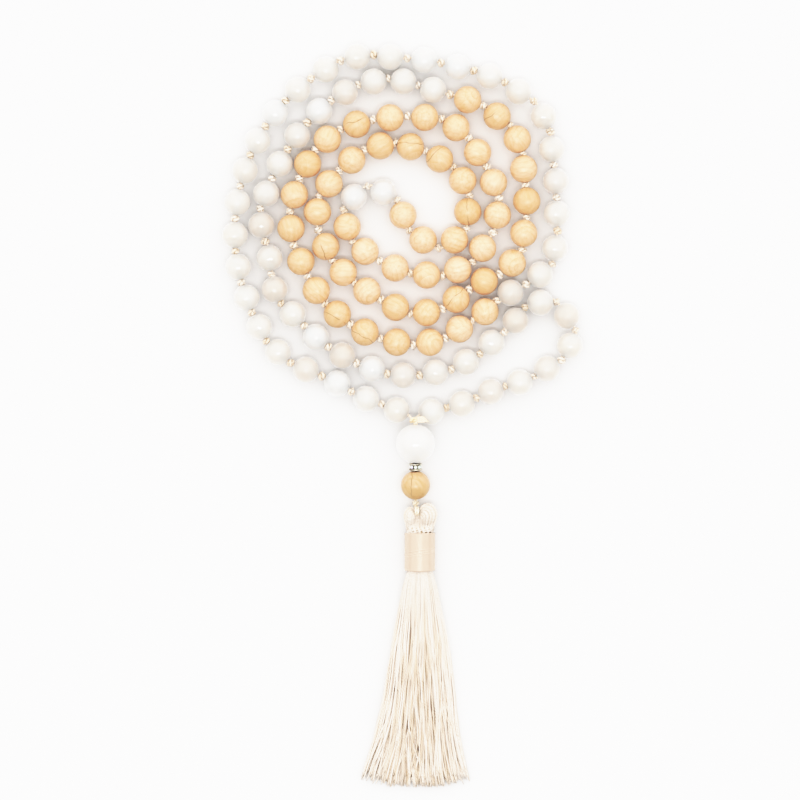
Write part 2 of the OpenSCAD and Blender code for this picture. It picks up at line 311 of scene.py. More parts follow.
# Places of the beads: cubics through the route's rows, where a row's slope is the mean of the paces
# beside it, weighed by the beads on the other side
def beadSpots(route):
    rows = np.array(route, float)
    spot, beadsAhead = rows[:, :2], rows[:, 2:]
    nextSpot, beadsBefore = np.roll(spot, -1, 0), np.roll(beadsAhead, 1, 0)
    pace = (nextSpot - spot) / beadsAhead
    slope = (pace * beadsBefore + np.roll(pace, 1, 0) * beadsAhead) / (beadsAhead + beadsBefore)
    nextSlope = np.roll(slope, -1, 0)
    count = beadsAhead[:, 0].astype(int)
    i = np.repeat(np.arange(len(rows)), count)
    inRow = np.arange(count.sum()) - np.repeat(np.cumsum(count) - count, count)
    span = beadsAhead[i]
    return hermite(spot[i], nextSpot[i], span * slope[i], span * nextSlope[i], inRow[:, None] / span)


spots = beadSpots(strand["route"])
beadCount = len(spots)
order = np.arange(beadCount)
isStone = (order < strand["stoneRun"]) | (order >= beadCount - strand["stoneRun"])
isStone |= abs(order - (beadCount - 1) / 2) < strand["middleStones"] / 2
beadRadius = np.where(isStone, strand["stoneD"], strand["woodD"]) / 2
# the route is laid so that its stones fill the box of their node
stoneLow, stoneHigh = nodeBox("white_beads")[:2]
spots = spots - spots[isStone].min(0) + stoneLow[:2] + strand["stoneD"] / 2
misfit = abs(spots[isStone].max(0) + strand["stoneD"] / 2 - stoneHigh[:2]).max()
beadAt = np.column_stack([spots, beadRadius])

guruAt = nodeBox("guru_bead")[2]
guruRadius = guruAt[2]
pendantAt = nodeBox("pendant_bead")[2]
pendantRadius = pendantAt[2]
dropWay = unit(pendantAt - guruAt)
jointKnotAt = guruAt + np.array([0, guruRadius, 0]) + strand["jointKnot"]

# A bead's hole follows the loop there, less what its neighbours' ways already turn
padded = np.vstack([jointKnotAt, beadAt, jointKnotAt])
loopWay = unit(padded[2:] - padded[:-2])
neighbours = np.roll(loopWay, 1, 0) + np.roll(loopWay, -1, 0)
neighbours[0] = loopWay[0] + loopWay[1]
neighbours[-1] = loopWay[-1] + loopWay[-2]
beadWay = unit(loopWay - strand["turnShare"] * neighbours)
reach = (beadRadius + strand["pastHole"])[:, None]
wayIn, wayOut = beadAt - beadWay * reach, beadAt + beadWay * reach
print(f"loop laid: {beadCount} beads, off its node by {misfit:.3f} mm")


# Random turns for n beads: each is the Q of a random matrix's QR
def randomTurns(dice, n):
    return np.linalg.qr(dice.normal(size=(n, 3, 3)))[0]


# Beads of one kind, each a turned drilled ball whose radius is R (1 - swell + swell (0.6 sin (2 a +
# lean) + 0.4 cos (3 a - 2 lean))). The grain attribute is the place in the bead, turned and moved
# at random along its y and z.
def beads(kit, centres, ways, radius, numbers=np.array([0])):
    dice = np.random.default_rng(kit["seed"])
    n = len(centres)
    lean = dice.uniform(0, tau, (n, 1, 1))
    swell = kit["swell"]
    farOff = 99.0  # as far as the plane of a split that isn't there

    def wobble(own):
        a = np.arctan2(own[..., 1], own[..., 0])
        return 1 + swell * (np.sin(2 * a + lean) * 0.6 + np.cos(3 * a - 2 * lean) * 0.4) - swell

    profile = ballProfile(radius, kit["boreD"] / 2, strand["bevel"], kit["rows"])
    points, own = turned(centres, ways, profile, kit["sides"], wobble)
    grain = own.reshape(n, -1, 3) @ randomTurns(dice, n)
    grain = grain + dice.uniform(-1, 1, (n, 1, 3)) * (0, kit["drift"], kit["drift"])
    mood = dice.uniform(0, kit["plain"], (n, 1, 1, 3)) + np.zeros_like(points)
    for axis, key in enumerate(("firstTint", "secondTint")):
        mood[np.isin(numbers, kit[key]), ..., axis] = kit["tint"]
    mood[..., 2] = farOff
    for number, way, left in kit["splits"]:
        which = numbers == number
        toLeft = np.array([-np.sin(np.radians(way)), np.cos(np.radians(way)), 0])
        mood[which, ..., 2] = (points[which] - centres[which][:, None, None]) @ toLeft - left
    return {"points": points, "looped": True, "grain": grain.reshape(points.shape), "mood": mood}


# Stone beads are counted from the joint clockwise. The first tint is a rosy grey and the second a
# cool clear white
stone = {
    "boreD": strand["boreD"], "rows": 20, "sides": 36, "swell": 0.004, "seed": 11,
    "drift": 40.0, "plain": 0.4, "tint": 1.0, "splits": [],
    "firstTint": (3, 23, 27, 83, 85, 88, 90, 93, 95, 99, 101, 103, 105),
    "secondTint": (2, 12, 17, 18, 53, 54, 84, 92, 94),
    "cloudScale": 0.22, "cloudEdges": (0.38, 0.68), "rosyShare": 0.75, "coolShare": 0.8,
    "clear": (0.725, 0.64, 0.56), "milk": (0.68, 0.595, 0.51),
    "rosy": (0.565, 0.46, 0.385), "cool": (0.745, 0.715, 0.68),
}


# Milky stone: clear, blended to milk by soft clouds of noise, to rosy by the first tint and to cool
# by the second. Light comes out of it again softly, under a glossy skin
def stoneMaterial(kit):
    material, tree, shader = startMaterial(
        "milkyStone", Roughness=0.07, IOR=1.85, Subsurface_Weight=0.85,
        Subsurface_Radius=(1.0, 0.86, 0.75), Subsurface_Scale=16.0 * mm,
        Sheen_Weight=0.9, Sheen_Roughness=0.5)
    mood = numbersOf(tree, attribute(tree, "mood"))
    clouds = noise(tree, attribute(tree, "grain"), kit["cloudScale"], 3.0, Distortion=0.6)
    paint(tree, shader, kit["clear"], [
        (remap(tree, clouds, *kit["cloudEdges"]), kit["milk"]),
        (times(tree, mood[0], kit["rosyShare"]), kit["rosy"]),
        (times(tree, mood[1], kit["coolShare"]), kit["cool"]),
    ])
    return material


milkyStone = stoneMaterial(stone)
stoneBeads = beads(stone, beadAt[isStone], beadWay[isStone], strand["stoneD"] / 2, order[isStone])
makePiece("stoneBeads", [stoneBeads], milkyStone, ["white_beads"])

# Wood beads are 28 to 52 and 55 to 79 of the same count. The first tint is a deeper tan and the
# second a paler cream
wood = {
    "boreD": strand["boreD"], "rows": 20, "sides": 36, "swell": 0.006, "seed": 5,
    "drift": 7.0, "plain": 0.33, "tint": 0.55,
    "firstTint": (31, 32, 33, 35, 36, 38, 40, 58, 60, 61, 62, 66, 69, 72, 75, 78),
    "secondTint": (29, 45, 47, 48, 50, 51, 55, 56, 68),
    # bead, the way its split runs as seen from above in degrees from east, and how far to the left
    # of that way it passes the bead's middle
    "splits": [(32, -34, -1.4), (33, -30, -1.1), (40, 19, 0.7), (58, 92, 0.1), (60, 48, 1.9),
               (61, -4, 0.85), (66, 106, 1.0), (71, 47, 0.7), (78, 35, 1.2)],
    "splitBend": 2.4, "splitEdges": (0.05, 0.16),
    "ringGap": 1.5, "ringBend": 2.5, "alongGrain": 0.14, "streakScale": 1.2, "poreScale": 6.0,
    "tintShare": 0.9, "lineShare": 0.7, "poreShare": 0.4, "splitShare": 0.6, "relief": 0.04,
    "pale": (0.83, 0.57, 0.375), "tan": (0.61, 0.365, 0.165), "cream": (0.86, 0.64, 0.47),
    "ring": (0.60, 0.36, 0.17), "pore": (0.42, 0.24, 0.10), "split": (0.20, 0.11, 0.045),
}


# Light wood: pale, with the bead's two tints, the growth rings, streaks, pores and the split laid
# over it in turn. The wave texture turns by 20 radians for a scale of 1
def woodMaterial(name, kit):
    material, tree, shader = startMaterial(
        name, Roughness=0.3, IOR=1.65, Subsurface_Weight=0.08,
        Subsurface_Radius=(1.0, 0.6, 0.3), Subsurface_Scale=0.8 * mm)
    grain = attribute(tree, "grain")
    mood = numbersOf(tree, attribute(tree, "mood"))
    # a ring darkens slowly and ends in a thin line, and how strong it shows drifts over the bead
    wave = {"Vector": grain, "Scale": tau / (20 * kit["ringGap"]), "Distortion": kit["ringBend"],
            "Detail": 2.0, "Detail Scale": 0.4}
    rings = wire(tree, "TexWave", wave, wave_type="RINGS", rings_direction="Z", wave_profile="SAW")
    late = remap(tree, rings.outputs["Color"], 0.35, 0.97, interpolation_type="SMOOTHSTEP")
    line = remap(tree, rings.outputs["Color"], 0.93, 0.98)
    shown = remap(tree, noise(tree, grain, 0.25, 1.0), 0.4, 0.65, 0.05, 0.4)
    # streaks and pores are noise drawn out along the grain
    along = wire(tree, "Mapping", {"Vector": grain, "Scale": (1.0, 1.0, kit["alongGrain"])}).outputs[0]
    streak = noise(tree, along, kit["streakScale"], 4.0, Roughness=0.6)
    pore = remap(tree, noise(tree, along, kit["poreScale"], 1.0), 0.68, 0.76)
    # the split is where |distance from its plane + noise| is small, and it fades in places
    bend = noise(tree, grain, 0.2, 2.0)
    bend = maths(tree, "MULTIPLY_ADD", bend, kit["splitBend"], -kit["splitBend"] / 2)
    off = maths(tree, "ABSOLUTE", maths(tree, "ADD", mood[2], bend))
    fade = remap(tree, noise(tree, grain, 0.3, 1.0), 0.36, 0.5)
    split = times(tree, remap(tree, off, *kit["splitEdges"], 1.0, 0.0), fade)
    paint(tree, shader, kit["pale"], [
        (times(tree, mood[0], kit["tintShare"]), kit["tan"]),
        (times(tree, mood[1], kit["tintShare"]), kit["cream"]),
        (times(tree, late, shown), kit["tan"]),
        (times(tree, line, times(tree, shown, kit["lineShare"])), kit["ring"]),
        (remap(tree, streak, 0.4, 0.8, 0.0, 0.65), kit["tan"]),
        (times(tree, pore, kit["poreShare"]), kit["pore"]),
        (times(tree, split, kit["splitShare"]), kit["split"]),
    ])
    height = maths(tree, "SUBTRACT", times(tree, streak, 0.3), maths(tree, "ADD", pore, split))
    addBump(tree, shader, height, 0.2, kit["relief"])
    return material


woodBeads = beads(wood, beadAt[~isStone], beadWay[~isStone], strand["woodD"] / 2, order[~isStone])
makePiece("woodBeads", [woodBeads], woodMaterial("lightWood", wood), ["wood_beads"])

# Thread and knots
thread = {
    "radius": 0.4, "pitch": 1.6, "step": 0.35, "sides": 6, "flat": 0.14, "seed": 3,
    "knotRing": 0.58, "knotCoil": 0.44, "knotStrand": 0.4, "knotSteps": 42, "knotSides": 7,
    # a knot's size at random, its least and greatest size by its gap, and what a gap of 1 adds
    "knotSize": (0.92, 1.06), "gapSize": (0.86, 1.04), "gapGrowth": 0.12,
    "press": 0.25, "squeeze": (0.85, 1.35), "knotMood": 0.9, "inWoodMood": 0.7,
    # its ends: east, north and up from the joint knot, and how far apart they lie
    "ends": [(0.3, 0.0, -0.2, 0.3), (1.6, 0.1, 0.2, 0.6), (3.2, 0.2, 0.2, 0.6), (5.0, 0.3, -0.4, 0.4)],
    "endSteps": 30,
    # each groove between plies is darkened towards deep by painted shade
    "pale": (0.98, 0.89, 0.79), "deep": (0.83, 0.61, 0.38), "grooveShade": 0.4, "bump": 0.35, "twist": 0.0,
}


# A tight overhand knot: the line that winds three times through a ring and twice round it,
# ((R + r cos 3u) cos 2u, (R + r cos 3u) sin 2u, r sin 3u), with the ring's axis along the thread.
# The tube's keel is the ring's own outward way at each point
def knots(centres, ways, size, squeeze, phase, kit):
    size, squeeze, phase = (np.reshape(values, (-1, 1)) for values in (size, squeeze, phase))
    u = around(kit["knotSteps"])
    a = 2 * u + phase
    off = kit["knotRing"] + kit["knotCoil"] * np.cos(3 * u)
    swing = np.broadcast_to(np.sin(3 * u), a.shape)
    out = np.stack([np.cos(3 * u) * np.cos(a), np.cos(3 * u) * np.sin(a), swing], -1)
    own = np.stack([off * np.cos(a), off * np.sin(a), kit["knotCoil"] * swing], -1)
    own = own * size[..., None]
    own[..., 2] *= squeeze
    axes = np.stack([*crossways(ways), ways], 1)
    return tubes(centres[:, None] + own @ axes, kit["knotStrand"] * size, kit["knotSides"],
                 kit["flat"], kit["pitch"], keel=out @ axes, looped=True)


# Twisted yarn: painted shade deepens its tint in each groove between plies, where |cos (a + twist length)|
# is small, and between the fine fibres that wind round it as sin (9 a + 5 length); its mood deepens it too
def yarnMaterial(name, kit):
    material, tree, shader = startMaterial(
        name, Roughness=0.3, IOR=1.65, Sheen_Weight=0.3, Sheen_Roughness=0.4)
    ply = numbersOf(tree, attribute(tree, "ply"))
    mood = numbersOf(tree, attribute(tree, "mood"))
    angle = maths(tree, "ARCTAN2", ply[1], ply[0])
    angle = maths(tree, "MULTIPLY_ADD", ply[2], kit["twist"], angle)
    groove = maths(tree, "ABSOLUTE", maths(tree, "COSINE", angle))
    wound = maths(tree, "MULTIPLY_ADD", angle, 9.0, times(tree, ply[2], 5.0))
    height = maths(tree, "MULTIPLY_ADD", maths(tree, "SINE", wound), 0.1, groove)
    # painted shade in each groove between plies and between the fibres
    shade = times(tree, remap(tree, height, 0.55, -0.05), kit["grooveShade"])
    shade = maths(tree, "MULTIPLY_ADD", mood[0], 0.5, shade)
    paint(tree, shader, kit["pale"], [(shade, kit["deep"])])
    addBump(tree, shader, height, kit["bump"], 0.1)
    return material


# The thread is a straight line from the joint knot through each bead's two holes and back. A knot
# stands in the middle of each gap between beads, larger and longer in a wider one
def threadAndKnots(kit):
    dice = np.random.default_rng(kit["seed"])
    gap = np.linalg.norm(beadAt[1:] - beadAt[:-1], axis=1) - beadRadius[1:] - beadRadius[:-1]
    growth = np.clip(kit["gapSize"][0] + gap * kit["gapGrowth"], *kit["gapSize"])
    size = dice.uniform(*kit["knotSize"], len(gap)) * growth
    squeeze = np.clip((gap / 2 + kit["press"]) / (kit["knotCoil"] + kit["knotStrand"]), *kit["squeeze"])
    knotPart = knots((wayOut[:-1] + wayIn[1:]) / 2, unit(wayIn[1:] - wayOut[:-1]), size, squeeze,
                     dice.uniform(0, tau, len(gap)), kit)
    # between wood beads the thread is a little paler
    inWood = (~isStone[1:] & ~isStone[:-1])[:, None, None, None]
    knotPart["mood"] = dice.uniform(0, kit["knotMood"], (len(gap), 1, 1, 3))
    knotPart["mood"] = knotPart["mood"] * np.where(inWood, kit["inWoodMood"], 1)

    stations = np.stack([wayIn, beadAt, wayOut], 1).reshape(-1, 3)
    stations = np.vstack([jointKnotAt, stations, jointKnotAt])
    run = runLength(stations[None])[0]
    places = np.arange(0, run[-1], kit["step"])
    line = np.column_stack([np.interp(places, run, stations[:, axis]) for axis in range(3)])
    section = (kit["radius"], kit["sides"], kit["flat"], kit["pitch"])
    threadPart = {**tubes(line[None], *section), "mood": 0.5}
    # three ends of the thread lie side by side from the joint knot over the edge of the last bead
    ends = jointKnotAt + np.array([[(x, y + side * apart, z) for x, y, z, apart in kit["ends"]]
                                   for side in (-1, 0, 1)])
    endsPart = {**tubes(through(ends, kit["endSteps"]), *section), "mood": 0.8}
    makePiece("knottedThread", [threadPart, knotPart, endsPart], yarnMaterial("creamThread", kit),
              ["thread"])


threadAndKnots(thread)

# Drop: guru bead, rondelle with small stones, wood bead
guru = {**stone, "boreD": 1.8, "rows": 30, "sides": 56, "seed": 2, "plain": 0.1, "secondTint": (0,)}
guruPart = beads(guru, guruAt[None], dropWay[None], guruRadius)
makePiece("guruStone", [guruPart], milkyStone, ["guru_bead"])

# The single wood bead is of a deeper wood, and painted shade makes it darker further down the drop
pendant = {**wood, "boreD": 1.8, "rows": 26, "sides": 48, "seed": 8, "firstTint": (), "secondTint": (),
           "splits": [(0, 92, 1.15)], "tan": (0.49, 0.295, 0.115), "tintWithPaintedShade": (0.49, 1.37)}
pendantPart = beads(pendant, pendantAt[None], dropWay[None], pendantRadius)
# painted shade: the tint deepens from the bead's top to its bottom along the drop
below = (pendantPart["points"] - pendantAt) @ dropWay
pendantPart["mood"][..., 0] = np.interp(below, (-pendantRadius, pendantRadius), pendant["tintWithPaintedShade"])
pendantWood = woodMaterial("pendantWood", pendant)
makePiece("woodPendant", [pendantPart], pendantWood, ["pendant_bead"])

rondelle = {
    "flangeR": 2.0, "flangeT": 0.45, "edge": 0.1125, "hubR": 1.25, "boreR": 0.9, "length": 2.1,
    "scallops": 10, "scallopDepth": 0.05, "sides": 80,
    "silver": (0.82, 0.78, 0.68), "tarnish": (0.15, 0.125, 0.075),
    "gems": 8, "gemR": 0.52, "gemH": 0.55, "gemSeat": 0.1, "gemFacets": 8,
    # shares of a small stone's radius and height, from its tip over the girdle to its table
    "gemCut": [(0.5, 0), (1, 0.35), (1, 0.45), (0.8, 0.75), (0.6, 1)],
    "clear": (0.93, 0.94, 0.96), "sparkle": 0.25,
}


# Silver, blended to tarnish by blots of noise
def silverMaterial(kit):
    material, tree, shader = startMaterial("silver", Metallic=1.0, Roughness=0.22)
    blots = noise(tree, wire(tree, "TexCoord").outputs["Object"], 900.0, 3.0)
    paint(tree, shader, kit["silver"], [(remap(tree, blots, 0.35, 0.7), kit["tarnish"])])
    return material


# Clear stone, blended a little towards the random colours of small cells
def crystalMaterial(kit):
    material, tree, shader = startMaterial("clearStone", Roughness=0.08, IOR=1.8)
    place = wire(tree, "TexCoord").outputs["Object"]
    spark = wire(tree, "TexVoronoi", {"Vector": place, "Scale": 1500.0}).outputs["Color"]
    paint(tree, shader, kit["clear"], [(kit["sparkle"], spark)])
    return material


# The rondelle's own rows (r, h), up its outside and down its bore: a flange with rounded edges at
# each end of the hub. Towards a flange's edge the radius falls by depth (1 - cos (scallops a)) / 2
def silverRondelle(kit):
    boreR, flangeR, edge = kit["boreR"], kit["flangeR"], kit["edge"]
    half = kit["length"] / 2
    inner = kit["flangeT"] - half
    flange = [(boreR + edge, -half), (flangeR - edge, -half), (flangeR, edge - half),
              (flangeR, inner - edge), (flangeR - edge, inner), (kit["hubR"], inner)]
    rows = flange + [(r, -h) for r, h in reversed(flange)] + [(boreR, half - edge), (boreR, edge - half)]

    def wobble(own):
        off = np.hypot(own[..., 0], own[..., 1])
        share = np.clip((off - kit["hubR"]) / (flangeR - kit["hubR"]), 0, 1)
        swing = np.cos(kit["scallops"] * np.arctan2(own[..., 1], own[..., 0]))
        return 1 - kit["scallopDepth"] * share * (0.5 - 0.5 * swing)

    points = turned(nodeBox("spacer")[2], dropWay, rows, kit["sides"], wobble)[0]
    part = {"points": points, "looped": True}
    makePiece("silverRondelle", [part], silverMaterial(kit), ["spacer"])


# The small stones stand evenly round the hub and look outwards, each a cut cone that widens from
# its tip to the girdle and narrows to a flat table
def cutStones(kit):
    side, up = crossways(dropWay)
    a = around(kit["gems"])[:, None]
    out = np.cos(a) * side + np.sin(a) * up
    seats = nodeBox("spacer")[2] + out * (kit["hubR"] + kit["gemSeat"])
    own = swept(np.array(kit["gemCut"]) * (kit["gemR"], kit["gemH"]), kit["gemFacets"])
    along = np.broadcast_to(dropWay, out.shape)
    axes = np.stack([along, np.cross(out, along), out], 1)[:, None]
    gems = {"points": seats[:, None, None] + own @ axes, "looped": False}
    crystal = crystalMaterial(kit)
    makePiece("rondelleStones", [gems], crystal, ["spacer_stones"], smooth=False)


silverRondelle(rondelle)
cutStones(rondelle)

# Tassel
bandLow, bandHigh, bandMid = nodeBox("tassel_binding")
bandRadius = (bandHigh[2] - bandLow[2]) / 2
tasselLow = nodeBox("tassel")[0]

cord = {
    "strandR": 0.38, "pitch": 2.2, "sides": 8, "flat": 0.12, "steps": 150, "phases": (0, 1.3),
    "mood": 0.15, "knotSteps": 60, "knotSides": 8,
    # the way of the joint knot, and of both knots the size, squeeze, phase and mood
    "jointWay": (0.3, -1.0, 0.0), "knots": [(1.0, 1.0, 0.4, 0.7), (0.85, 1.1, 2.0, 0.1)],
    # from the joint knot to the strands' start, from the pendant bead down to the low knot, and on
    "start": (0.3, -0.4, 0.0), "lowKnot": 1.05, "afterKnot": (0.1, -1.6, 0.6),
    # half the strands' distance at the start, at the guru bead's upper end and middle, in the pendant
    # bead, at the low knot and after it, and on the loop
    "apart": (0.136, 0.306, 0.306, 0.306, 0.17, 0.272), "loopApart": 0.34,
    # across from the band's middle, then up from its upper edge and height, round the skein
    "loopX": -0.9,
    "loop": [(7.6, 6.6), (6.8, 7.6), (5.9, 7.2), (5.2, 4.5), (5.4, 1.4), (6.2, 0.8), (7.3, 1.8)],
    # each groove between plies is darkened towards deep by painted shade
    "pale": (0.97, 0.89, 0.75), "deep": (0.93, 0.62, 0.27), "grooveShade": 0.5, "bump": 0.5, "twist": 0.0,
}


# The cord: a knot over the guru bead, two strands down through the drop, a small knot, and the two
# strands on round the skein. A strand is a smooth line through the middle places moved sideways
def cordAndKnots(kit):
    lowKnotAt = pendantAt + dropWay * (pendantRadius + kit["lowKnot"])
    loop = [(bandMid[0] + kit["loopX"], bandHigh[1] + up, z) for up, z in kit["loop"]]
    middle = np.array([jointKnotAt + kit["start"], guruAt - dropWay * guruRadius, guruAt, pendantAt,
                       lowKnotAt, lowKnotAt + kit["afterKnot"], *loop])
    apart = np.append(kit["apart"], [kit["loopApart"]] * len(loop))
    controls = np.stack([middle + np.outer(apart, (side, 0, 0)) for side in (-1, 1)])
    strands = tubes(through(controls, kit["steps"]), kit["strandR"], kit["sides"], kit["flat"],
                    kit["pitch"], phase=kit["phases"], keel=np.array([1.0, 0.0, 0.0]))
    size, squeeze, phase, mood = np.transpose(kit["knots"])
    knotWays = np.stack([unit(np.array(kit["jointWay"])), dropWay])
    knotKit = {**thread, "knotSteps": kit["knotSteps"], "knotSides": kit["knotSides"]}
    knotPart = knots(np.stack([jointKnotAt, lowKnotAt]), knotWays, size, squeeze, phase, knotKit)
    makePiece("cordAndKnots", [
        {**strands, "mood": kit["mood"]},
        {**knotPart, "mood": mood[:, None, None, None]},
    ], yarnMaterial("goldenCord", kit), ["tassel_cord"])


cordAndKnots(cord)

silk = {
    # each groove between plies is darkened towards deep by painted shade
    "pale": (0.96, 0.87, 0.79), "deep": (0.65, 0.49, 0.33), "grooveShade": 0.5, "bump": 1.0,
    "twist": tau / 1.9, "shift": 4.0,  # how far along it a yarn's twist may start, at random
}
silkYarn = yarnMaterial("silkYarn", silk)

# Skirt: fine yarns that fall from the band and fan out on the surface
skirt = {
    # share of its length, reach to the left and to the right, height, rounding down of its edges
    "rows": [(-0.03, 3.6, 3.6, 7.4, 0.85), (0.005, 3.6, 3.6, 7.4, 0.85), (0.05, 5, 5, 8.3, 0.8),
             (0.32, 8.3, 8.5, 6.4, 0.6), (0.6, 11, 10.6, 5, 0.5), (0.78, 13.5, 11.9, 4.2, 0.4),
             (0.92, 16.7, 13.8, 3.2, 0.3), (1, 17.8, 15.2, 2.4, 0.2)],
    "smoothing": 0.04, "landing": 0.2, "inBand": 0.02, "tipRise": 3.0, "raggedness": 3.4,
    "yarnR": 0.27, "rootShare": 0.7, "tipShare": 0.4, "sides": 5, "seed": 21,
    # object, yarns across, layers, rings down, lowest and highest layer as shares of the height
    "sheets": [("skirtUnder", 56, 5, 36, 0.0, 0.68), ("skirtOver", 66, 4, 68, 0.7, 1.0)],
    "laneJitter": 1.1, "depthJitter": 0.05, "widest": 1.02,
    "locks": 13, "lockReach": 1.05, "lockBlur": 0.04, "gather": 0.42, "gatherFrom": 0.4,
    "crossing": 0.2, "crossFrom": (0.1, 0.75), "fringe": 0.12,
    "wander": 0.36, "waves": (0.8, 2.1, 5.5), "flow": 0.5, "edgeCalm": 0.7,
    "heave": 0.2, "heaveWaves": 3.3, "tint": 1.35, "edgePale": 0.7,
}


# A column of the skirt's table at share s: straight between rows, then averaged over a short span
def skirtColumn(column, s):
    rows = np.array(skirt["rows"])
    near = s[..., None] + np.linspace(-1, 1, 7) * skirt["smoothing"]
    return np.interp(near, rows[:, 0], rows[:, column]).mean(-1)


# Yarns at lanes -1..1 across and depths 0..1 up: x = lane times the reach less the yarn, and
# z = base + depth times the height there. On the way down a lane crosses its neighbours from some
# place on and gathers towards the nearest lock, neighbours flow together, and each yarn wanders by
# three sines of its own. Mood is the yarn's random tint, weaker near the band and at the two edges
def skirtYarns(across, layers, rings, low, high, dice):
    kit = skirt
    lanes, depth = np.meshgrid(np.linspace(-1, 1, across), np.linspace(low, high, layers))
    lanes = lanes + dice.uniform(-1, 1, lanes.shape) * kit["laneJitter"] / across
    lanes = lanes + (np.arange(layers) % 2)[:, None] / across
    locks = np.sort(dice.uniform(-kit["lockReach"], kit["lockReach"], (layers, 1, kit["locks"])), -1)
    blurred = lanes + dice.normal(0, kit["lockBlur"], lanes.shape)
    lock = np.take_along_axis(locks[:, 0], abs(blurred[..., None] - locks).argmin(-1), 1)
    lanes, depth, lock = (np.reshape(values, (-1, 1)) for values in (np.clip(lanes, -1, 1), depth, lock))
    depth = np.clip(depth + dice.uniform(-kit["depthJitter"], kit["depthJitter"], depth.shape), 0, 1)
    n = len(lanes)

    # s runs from just inside the band to the yarn's tip, as a share of the skirt's length
    length = bandLow[1] - tasselLow[1]
    ragged = kit["raggedness"] * dice.uniform(0, 1, (n, 1)) ** 2
    tip = 1 - (kit["tipRise"] * lanes**2 + ragged) / length
    s = np.linspace(0, 1, rings) * (tip + kit["inBand"]) - kit["inBand"]
    root, point = kit["rootShare"], kit["tipShare"]
    radius = kit["yarnR"] * (root + (1 - root) * ease(s, 0, 0.3))
    radius = radius * (1 - (1 - point) * ease(s / tip, 0.98, 1))

    lane = lanes + kit["gather"] * (lock - lanes) * ease(s, kit["gatherFrom"], 1)
    begin = dice.uniform(*kit["crossFrom"], (n, 1))
    lane = lane + kit["crossing"] * dice.normal(0, 1, (n, 1)) * np.clip((s - begin) / (1 - begin), 0, 1)
    lane = np.clip(lane, -kit["widest"], kit["widest"])
    lane = lane * (1 - kit["fringe"] * (1 - abs(lane) ** 6) * ease(s, 0, 0.3))

    own = 0
    for rate in kit["waves"]:
        pace = dice.uniform(0.7, 1.3, (n, 1))
        own = own + np.sin(s * tau * rate * pace + dice.uniform(0, tau, (n, 1))) / rate**0.7
    shared = np.sin(tau * (0.8 * s + 0.9 * lanes + 0.4 * depth))
    shared = shared + 0.5 * np.sin(tau * (1.7 * s - 1.6 * lanes + depth))
    sway = (own * kit["wander"] + shared * kit["flow"]) * ease(s, 0, 0.45)

    left, right, tall, fall = (skirtColumn(column, s) for column in (1, 2, 3, 4))
    x = lane * (np.where(lane < 0, left, right) - radius) + sway * (1 - kit["edgeCalm"] * abs(lane))
    top = tall * np.sqrt(1 - fall * np.minimum(lane**2, 1))
    base = (2 * bandRadius - top) / 2 * np.clip(1 - s / kit["landing"], 0, 1)
    z = base + radius + depth * (top - 2 * radius)
    swing = np.sin(s * tau * kit["heaveWaves"] + dice.uniform(0, tau, (n, 1)))
    z = z + kit["heave"] * ease(s, 0, 0.4) * swing
    lines = np.stack([bandMid[0] + x, bandLow[1] - s * length, np.maximum(z, radius)], -1)
    part = tubes(lines, radius, kit["sides"], start=dice.uniform(0, silk["shift"], (n, 1)))
    tint = kit["tint"] * dice.uniform(0, 1, (n, 1)) ** 1.5
    mood = tint * (0.3 + 0.7 * ease(s, 0, 0.4)) + 0.08 * ease(s, 0.2, 0.6)
    mood = mood * (1 - kit["edgePale"] * np.minimum(lane**4, 1))
    return {**part, "mood": mood[..., None, None]}


# The skirt's two sheets of yarns, one under the other
def tasselSkirt(kit):
    dice = np.random.default_rng(kit["seed"])
    for name, *sheet in kit["sheets"]:
        makePiece(name, [skirtYarns(*sheet, dice)], silkYarn, ["tassel"])


tasselSkirt(skirt)

# Head: the skein folded over the cord, in a small lobe on the left and a big one on the right
head = {
    # the tie's place over the band's upper edge, and the slit's half width and its height
    "tie": (-0.9, 4.0), "slit": (0.62, 2.0), "neckR": 3.95, "strandR": 0.23,
    "steps": 52, "sides": 5, "seed": 4,
    # side, middle from the band's upper edge, and half sizes
    "lobes": [(1, (2.4, 5.5), (2.75, 3.3, 3.6)), (-1, (-2.9, 5.0), (1.85, 2.7, 3.4))],
    # top or bottom side, share of the lobe, and yarns
    "shells": [(1, 1.0, 34), (1, 0.93, 30), (-1, 1.0, 22)],
    # degrees round the lobe where the rim's yarn passes, and its heights on the way into the band
    "bends": (165, 125, 88, 50, 10, -25), "feet": (1.3, 0.2, -1.6),
    "jitter": 0.01, "closing": (0.67, 0.33, 0.0),  # heights of the yarns that close the rim's side
    "joining": (0.6, 3.2), "rimShare": 0.16, "neckLeast": 0.04,
    "bunch": 1.25, "bunching": 0.85, "bunchTop": 2.7, "bunchLean": 0.35,
    "furrows": 6.5, "furrowDepth": 0.4, "startHeight": 0.2,
    # a random tint, and the painted shade in the furrows, in the slit and in the gaps of the inner shell
    # low in the neck
    "tint": 0.35, "furrowPaintedShade": 0.9, "slitPaintedShade": 2.5, "gapPaintedShade": 2.4,
    # filling: its share of a lobe, and the middle, half sizes and share of the neck's
    "coreShare": 0.74, "neckCore": ((0, -2.0), (4.1, 5.4, 4.1), 0.88), "coreMood": 0.9,
}


